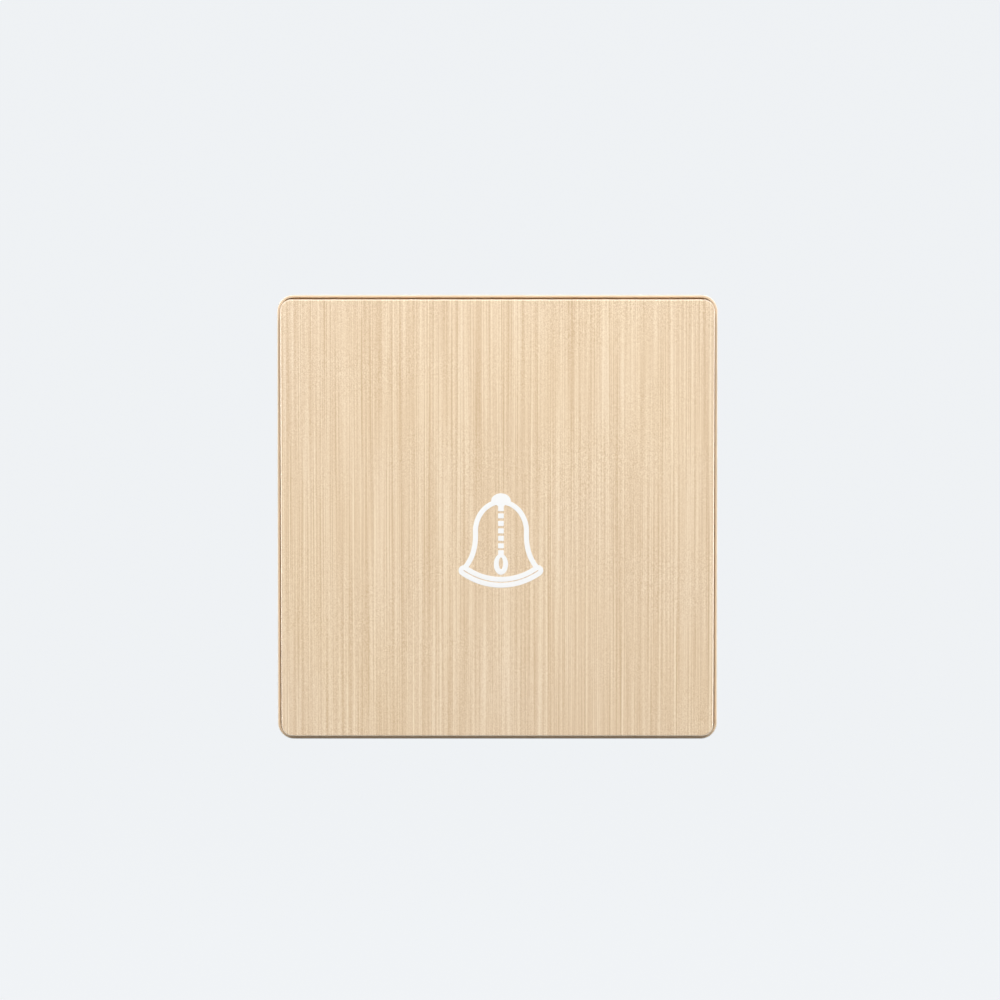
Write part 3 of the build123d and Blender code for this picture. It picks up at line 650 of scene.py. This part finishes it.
# %% Bridge the ring and hang it on its link
RING_WIDE, RING_TALL, RING_MIDDLE = 1.38, 2.04, -4.62
HOLE_WIDE, HOLE_TALL, HOLE_MIDDLE = 0.41, 1.14, -4.42
LINK_TOP, LINK_END = -1.87, -2.75

ring = add_oval("ring", RING_WIDE, RING_TALL, RING_MIDDLE, vertices=48)
hole = add_oval("hole", HOLE_WIDE, HOLE_TALL, HOLE_MIDDLE, vertices=48)
select_only(ring, hole)
bpy.ops.object.join()
edit_all(ring)
bpy.ops.mesh.bridge_edge_loops()
bpy.ops.object.mode_set(mode="OBJECT")
thicken(ring, INK)
link = add_oblong("link", NECK_HALF, LINK_TOP, LINK_END)
thicken(link, INK + HAIR)
combine(ring, link, "UNION")
print("ring of", len(ring.data.polygons), "faces")

# %% Stand the sign up on the key's face
SIGN_X = 0.68
SIGN_Z = -4.245
INK_WHITE = (0.96, 0.96, 0.95)

select_only(bell, ring, *beads)
bpy.ops.object.join()
upright = Matrix.Rotation(math.pi / 2, 4, "X")
place = Matrix.Translation(Vector((SIGN_X, FACE_Y - INK_RAISED + INK / 2, SIGN_Z)) * MM)
bell.matrix_world = lean @ place @ Matrix.Scale(MM, 4) @ upright
bpy.ops.object.transform_apply(location=True, rotation=True, scale=True)
bpy.ops.object.shade_flat()

sign_ink, tree, shader, coords = start_finish("sign_ink", roughness=0.5)
mottle = weigh(tree, [(noise(tree, coords, (2, 2, 2)), 0.4), (noise(tree, coords, (0.15, 0.15, 0.15)), 0.3)])
tree.links.new(shades(tree, mottle, INK_WHITE, 0.94, 1.06), shader.inputs["Base Color"])
relief(tree, shader, mottle, depth=0.01, strength=0.3)
wear(bell, sign_ink)
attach(bell, "key")
print("sign of", len(bell.data.polygons), "faces, size in mm", [round(side / MM, 2) for side in bell.dimensions])

# %% [markdown]
# ## Springs wound from round wire
#
# Both springs of the solid part are bent from straight lengths, which is enough to take up their room.
# A real one is wound on a mandrel, and the Screw modifier winds the same way: it carries a small circle round an
# axis and along it at once. The ends are then filled, because a cut wire is solid. Each spring is hung on a body:
# the return spring on the base, the plunger spring on the key.

# %% Wind a spring to fit a node
WINDING_STEPS = 32


def wind(piece, axis, turns, rise):
    """Carries an outline round an axis and along it, and fills the cut ends."""
    select_only(piece)
    bpy.ops.object.modifier_add(type="SCREW")
    winding = piece.modifiers[-1]
    winding.axis = axis
    winding.steps = WINDING_STEPS
    winding.render_steps = WINDING_STEPS
    winding.iterations = turns
    winding.screw_offset = rise
    bpy.ops.object.modifier_apply(modifier=winding.name)
    edit_all(piece)
    bpy.ops.mesh.fill_holes(sides=0)
    bpy.ops.object.mode_set(mode="OBJECT")
    tidy_mesh(piece)


def wound(name, wire, turns, turn):
    """A coil along Y that fills the room of a CAD spring, from wire of a thickness in mm."""
    low, high = box_mm(name, turn.inverted())
    radius = (high.x - low.x - wire) / 2
    rise = (high.y - low.y - wire) / turns
    bpy.ops.object.select_all(action="DESELECT")
    bpy.ops.mesh.primitive_circle_add(vertices=12, radius=wire / 2, fill_type="NOTHING",
                                      location=(radius, low.y + wire / 2, 0))
    coil = bpy.context.object
    coil.name = name + "_wound"
    bpy.ops.object.transform_apply(location=True, rotation=False, scale=False)
    wind(coil, "Y", turns, rise)
    centre = Vector(((low.x + high.x) / 2, 0, (low.z + high.z) / 2))
    coil.matrix_world = turn @ Matrix.Scale(MM, 4) @ Matrix.Translation(centre)
    bpy.ops.object.transform_apply(location=True, rotation=True, scale=True)
    bpy.ops.object.shade_smooth_by_angle(angle=math.radians(50))
    wear(coil, spring_wire)
    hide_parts(name)
    print(coil.name, "radius", round(radius, 2), "rise", round(rise, 2), "mm, length", round(high.y - low.y, 2))
    return coil, low, high


return_coil, return_low, return_high = wound("return_spring", wire=0.6, turns=6, turn=Matrix.Identity(4))
plunger_coil, plunger_low, plunger_high = wound("plunger_spring", wire=0.45, turns=5, turn=lean)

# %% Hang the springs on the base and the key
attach(return_coil, "base")
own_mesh(return_coil)

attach(plunger_coil, "key")
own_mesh(plunger_coil)

# %% [markdown]
# ## Screws with a thread and a recess
#
# The solids hold plain pins in the places of screws. Each pin is measured, and a screw is modelled to the same
# head, seat and length: a disc is drawn out into the shank, widened into the head and rounded on top.
# A small triangle carried round by the Screw modifier is the thread, and a tapered cross or a straight slot is
# cut into the head. The two shell screws are one model in two places.

# %% Measure a screw
X_AXIS, Y_AXIS = 0, 1
HEAD_SHARE = 0.9


def screw_measures(name, axis, head_sign, side=0):
    """Radius of head and shank, height of the head, length below it and the middle of its seat, in mm."""
    places = [vertex.co / MM for vertex in nodes[name].data.vertices]
    if side:
        places = [place for place in places if place.x * side > 0]
    across = [index for index in range(3) if index != axis]
    middle = [(min(place[index] for place in places) + max(place[index] for place in places)) / 2 for index in across]
    far = [(math.dist([place[index] for index in across], middle), place[axis] * head_sign) for place in places]
    head_radius = max(radius for radius, _ in far)
    head = [along for radius, along in far if radius > HEAD_SHARE * head_radius]
    tip = min(along for _, along in far)
    shank_radius = max(radius for radius, along in far if along < min(head) - SLACK)
    centre = Vector((0, 0, 0))
    centre[across[0]], centre[across[1]] = middle
    centre[axis] = min(head) * head_sign
    return {"head": head_radius, "shank": shank_radius, "tall": max(along for _, along in far) - min(head),
            "long": min(head) - tip, "seat": centre}


shell_pair = [screw_measures("shell_screws", Y_AXIS, 1, side) for side in (-1, 1)]
supply_sizes = screw_measures("supply_screw", X_AXIS, 1)
bell_sizes = screw_measures("bell_screw", X_AXIS, -1)
for sizes in (*shell_pair, supply_sizes, bell_sizes):
    print({key: round(value, 2) for key, value in sizes.items() if key != "seat"}, sizes["seat"])

# %% Model a threaded screw that stands on its tip
THREAD_DEEP, THREAD_SUNK, THREAD_HALF, THREAD_START = 0.3, 0.1, 0.4, 0.45  # of the pitch
TIP_SLOPE, TIP_BLUNT = 1.6, 0.1  # length for each mm that the tip narrows, and the length added, in mm
HEAD_ROUND, RECESS_DEEP = 0.45, 0.6  # of the head's height
RECESS_WIDE, CROSS_LONG, SLOT_LONG = 0.32, 1.1, 2.4  # of the head's radius
CROSS_TAPER = (0.55, 0.7, 1)


def threaded_screw(name, sizes, pitch, tip_share, cross):
    """A screw along Z with its seat on the ground, in mm."""
    core = sizes["shank"] - THREAD_DEEP * pitch
    bpy.ops.object.select_all(action="DESELECT")
    bpy.ops.mesh.primitive_circle_add(vertices=40, radius=core * tip_share, fill_type="NGON",
                                      location=(0, 0, -sizes["long"]))
    screw = bpy.context.object
    screw.name = name
    bpy.ops.object.transform_apply(location=True, rotation=False, scale=False)
    edit_all(screw)
    point = core * (1 - tip_share) * TIP_SLOPE + TIP_BLUNT
    bpy.ops.mesh.extrude_region_move(TRANSFORM_OT_translate={"value": (0, 0, point)})
    bpy.ops.transform.resize(value=(1 / tip_share, 1 / tip_share, 1), center_override=(0, 0, 0))
    bpy.ops.mesh.extrude_region_move(TRANSFORM_OT_translate={"value": (0, 0, sizes["long"] - point)})
    bpy.ops.mesh.extrude_region_move(TRANSFORM_OT_translate={"value": (0, 0, 0)})
    bpy.ops.transform.resize(value=(sizes["head"] / core, sizes["head"] / core, 1), center_override=(0, 0, 0))
    bpy.ops.mesh.extrude_region_move(TRANSFORM_OT_translate={"value": (0, 0, sizes["tall"])})
    bpy.ops.mesh.bevel(offset=HEAD_ROUND * sizes["tall"], segments=5, affect="EDGES")
    bpy.ops.object.mode_set(mode="OBJECT")
    tidy_mesh(screw)
    cut_recess(screw, sizes, cross)
    thread = thread_ridge(core, sizes, pitch, point)
    select_only(screw, thread)
    bpy.ops.object.join()
    bpy.ops.object.shade_smooth_by_angle(angle=math.radians(40))
    return screw


def cut_recess(screw, sizes, cross):
    """Cuts a straight slot, or a tapered cross, into the head."""
    deep = RECESS_DEEP * sizes["tall"]
    wide = RECESS_WIDE * sizes["head"]
    long = (CROSS_LONG if cross else SLOT_LONG) * sizes["head"]
    bars = []
    for angle in (0, math.pi / 2) if cross else (0,):
        bpy.ops.object.select_all(action="DESELECT")
        bpy.ops.mesh.primitive_cube_add(size=1, location=(0, 0, sizes["tall"]))
        bar = bpy.context.object
        bar.scale = (long, wide, 2 * deep)
        bpy.ops.object.transform_apply(location=True, rotation=False, scale=True)
        if cross:
            pick(bar, lambda place: place.z < sizes["tall"])
            bpy.ops.transform.resize(value=CROSS_TAPER, center_override=(0, 0, sizes["tall"] - deep))
            bpy.ops.object.mode_set(mode="OBJECT")
        bar.rotation_euler.z = angle
        select_only(bar)
        bpy.ops.object.transform_apply(location=False, rotation=True, scale=False)
        bars.append(bar)
    for bar in bars:
        combine(screw, bar, "DIFFERENCE")


def thread_ridge(core, sizes, pitch, point):
    """The ridge of the thread, wound from a small triangle."""
    turns = int((sizes["long"] - point - pitch) / pitch)
    root = core - THREAD_SUNK * pitch
    deep = sizes["shank"] - root
    # A triangle in a circle of radius 1 is 1.5 high, with its middle a third of the way up.
    start = (root + deep / 3, 0, point + THREAD_START * pitch - sizes["long"])
    bpy.ops.object.select_all(action="DESELECT")
    bpy.ops.mesh.primitive_circle_add(vertices=3, radius=1, fill_type="NOTHING", location=start,
                                      rotation=(-math.pi / 2, -math.pi / 2, 0))
    ridge = bpy.context.object
    ridge.scale = (THREAD_HALF * pitch / math.sin(math.pi / 3), deep / 1.5, 1)
    bpy.ops.object.transform_apply(location=True, rotation=True, scale=True)
    wind(ridge, "Z", turns, pitch)
    return ridge


print("screw tools ready")

# %% Drive the screws into their places
def drive(screw, turn, seat):
    """Turns a finished screw to its axis and sets it on its seat, in metres."""
    screw.matrix_world = Matrix.Translation(seat * MM) @ turn @ Matrix.Scale(MM, 4)
    select_only(screw)
    bpy.ops.object.transform_apply(location=True, rotation=True, scale=True)


def hand_over(screw, name):
    """Finish, body and the node that the screw replaces."""
    wear(screw, screw_zinc)
    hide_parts(name)
    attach(screw, "base")
    print(screw.name, "of", len(screw.data.polygons), "faces replaces", name)


# A screw stops where it is tight, so each recess ends at an angle of its own, in radians.
SECOND_TURN, SUPPLY_TURN, BELL_TURN = 0.6, 0.5, -0.3
to_back = Matrix.Rotation(-math.pi / 2, 4, "X")
to_right = Matrix.Rotation(math.pi / 2, 4, "Y")
to_left = Matrix.Rotation(-math.pi / 2, 4, "Y")

first = threaded_screw("shell_screws_cut", shell_pair[0], pitch=1.0, tip_share=0.35, cross=True)
select_only(first)
bpy.ops.object.duplicate()
second = bpy.context.object
drive(first, to_back, shell_pair[0]["seat"])
drive(second, to_back @ Matrix.Rotation(SECOND_TURN, 4, "Z"), shell_pair[1]["seat"])
select_only(first, second)
bpy.ops.object.join()
hand_over(first, "shell_screws")

supply_cut = threaded_screw("supply_screw_cut", supply_sizes, pitch=0.5, tip_share=0.8, cross=False)
drive(supply_cut, to_right @ Matrix.Rotation(SUPPLY_TURN, 4, "Z"), supply_sizes["seat"])
hand_over(supply_cut, "supply_screw")
bell_cut = threaded_screw("bell_screw_cut", bell_sizes, pitch=0.5, tip_share=0.8, cross=False)
drive(bell_cut, to_left @ Matrix.Rotation(BELL_TURN, 4, "Z"), bell_sizes["seat"])
hand_over(bell_cut, "bell_screw")

# %% [markdown]
# ## The studio
#
# The photo shows the push upright against a pale, cool white with no wall behind it. A floor that sweeps up into a
# backdrop gives that: it stands well behind and below the object, so it hardly bounces light on it.
# To scattered light the sweep is a dark grey. To the camera, and to what shines, it is the pale white of the
# picture, mixed with a share of its real shading, so a shadow still falls on the floor. Past the edges of the
# sweep the world shows the same white.

# %% Sweep a floor up into a backdrop
PALE = (0.95, 0.975, 1.0)
PALE_SHARE = 0.9
FLOOR_GREYS = [(0.10, 0.103, 0.106), (0.14, 0.144, 0.148), (0.18, 0.185, 0.19)]
FLOOR_WIDE, FLOOR_LONG = 8, 4
FLOOR_Y, FLOOR_Z = -0.6, -0.2
BACKDROP_TALL, BACKDROP_ROUND = 3.5, 0.5


def seen_straight(tree):
    """One for what the camera sees, straight or by way of metal or glass, nothing for scattered light."""
    path = add_node(tree, "ShaderNodeLightPath", {})
    shiny = calculate(tree, "MAXIMUM", path.outputs["Is Camera Ray"], path.outputs["Is Glossy Ray"])
    return calculate(tree, "MAXIMUM", shiny, path.outputs["Is Transmission Ray"])


bpy.ops.object.select_all(action="DESELECT")
bpy.ops.mesh.primitive_plane_add(size=1, location=(0, FLOOR_Y, FLOOR_Z))
sweep = bpy.context.object
sweep.name = "studio_sweep"
sweep.scale = (FLOOR_WIDE, FLOOR_LONG, 1)
bpy.ops.object.transform_apply(location=True, rotation=False, scale=True)
pick(sweep, lambda place: place.y > 0)
bpy.ops.mesh.extrude_region_move(TRANSFORM_OT_translate={"value": (0, 0, BACKDROP_TALL)})
bpy.ops.object.mode_set(mode="OBJECT")
pick(sweep, lambda place: place.y > 0 and place.z < 0)
bpy.ops.mesh.bevel(offset=BACKDROP_ROUND, segments=12, affect="EDGES")
bpy.ops.object.mode_set(mode="OBJECT")
bpy.ops.object.shade_smooth()

pale_floor, tree, shader, coords = start_finish("pale_floor", roughness=0.9)
dust = weigh(tree, [(noise(tree, coords, (400, 400, 400)), 0.1), (noise(tree, coords, (9, 9, 9)), 0.05)])
tree.links.new(ramp(tree, dust, FLOOR_GREYS), shader.inputs["Base Color"])
share = calculate(tree, "MULTIPLY", seen_straight(tree), PALE_SHARE)
glow = add_node(tree, "ShaderNodeEmission", {"Color": (*PALE, 1), "Strength": 1.0})
blend = add_node(tree, "ShaderNodeMixShader", {0: share, 1: shader.outputs[0], 2: glow.outputs[0]})
tree.links.new(blend.outputs[0], tree.nodes["Material Output"].inputs["Surface"])
wear(sweep, pale_floor)
sweep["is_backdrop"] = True
print("floor at", round(sweep.bound_box[0][2], 3), "m")

# %% [markdown]
# Four soft lamps and a faint dome light it. The front lamp hangs more than a third of a right angle above level,
# which is steep enough for the key to shade the ledge below it, and the trim's upper rim lies open to it.
# It stands near, so the face falls off a little towards its foot. Two upright strips at the sides only graze the
# face and draw a pale line along the rounded edges, and one behind shows the back without reaching the face.
# The dome is bright above and dark below, as a room with a pale ceiling is.

# %% Light it
DOME_TONES = [(0.02, 0.02, 0.02), (0.09, 0.09, 0.09), (0.6, 0.6, 0.61)]

world = bpy.data.worlds.new("studio_dome")
bpy.context.scene.world = world
world.use_nodes = True
tree = world.node_tree
outward = add_node(tree, "ShaderNodeTexCoord", {}).outputs["Generated"]
upward = add_node(tree, "ShaderNodeSeparateXYZ", {0: outward}).outputs["Z"]
dome = ramp(tree, between(tree, upward, -1.0, 1.0), DOME_TONES)
seen = mix(tree, seen_straight(tree), dome, toned(PALE, PALE_SHARE))
tree.links.new(seen, tree.nodes["Background"].inputs["Color"])


def hang_lamp(name, turn, rise, reach, watts, wide, tall):
    """A soft lamp that looks at the origin; turn 0 is in front, angles in degrees, lengths in metres."""
    flat = reach * math.cos(math.radians(rise))
    place = Vector((flat * math.sin(math.radians(turn)), -flat * math.cos(math.radians(turn)),
                    reach * math.sin(math.radians(rise))))
    bpy.ops.object.select_all(action="DESELECT")
    bpy.ops.object.light_add(type="AREA", location=place)
    lamp = bpy.context.object
    lamp.name = name
    lamp.data.shape = "RECTANGLE"
    lamp.data.size = wide
    lamp.data.size_y = tall
    lamp.data.energy = watts
    lamp.rotation_euler = (-place).to_track_quat("-Z", "Y").to_euler()
    print(name, "at", [round(part, 2) for part in place])


hang_lamp("front_lamp", turn=0, rise=33, reach=0.85, watts=6.75, wide=0.8, tall=0.15)
hang_lamp("left_lamp", turn=-86, rise=0, reach=0.7, watts=1.8, wide=0.15, tall=0.3)
hang_lamp("right_lamp", turn=86, rise=0, reach=0.7, watts=1.8, wide=0.15, tall=0.3)
hang_lamp("back_lamp", turn=180, rise=38, reach=0.8, watts=5.0, wide=0.8, tall=0.15)
bpy.context.scene.view_settings.view_transform = "Standard"

# %% [markdown]
# ## The camera
#
# In the photo the key's two sides draw together slightly towards its foot, by less than one part in a hundred.
# The lean of the key does part of that and a near camera the rest, so the camera stands about half a metre off,
# about one degree above level, and takes a long lens.

# %% Set up the camera
CAMERA_REACH = 0.55
CAMERA_RISE = math.radians(1.3)
PICTURE_WIDTH = 0.19378
AIM_X, AIM_Z = 0.0005, 0.00347
aim = Vector((AIM_X, FACE_Y * MM, AIM_Z))
back = Vector((0, -math.cos(CAMERA_RISE), math.sin(CAMERA_RISE)))

bpy.ops.object.select_all(action="DESELECT")
bpy.ops.object.camera_add(location=aim + back * CAMERA_REACH)
camera = bpy.context.object
camera.rotation_euler = (-back).to_track_quat("-Z", "Y").to_euler()
camera.data.sensor_width = 36.0
camera.data.lens = camera.data.sensor_width * CAMERA_REACH / PICTURE_WIDTH
camera.data.clip_start = 0.01
bpy.context.scene.camera = camera
print("lens", round(camera.data.lens, 1), "mm")

# %% Measure the finished size
made_low, made_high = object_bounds()
sizes = {"loaded": [list(cad_low), list(cad_high)], "finished": [list(made_low), list(made_high)]}
print("size in mm", [round(side / MM, 2) for side in made_high - made_low])
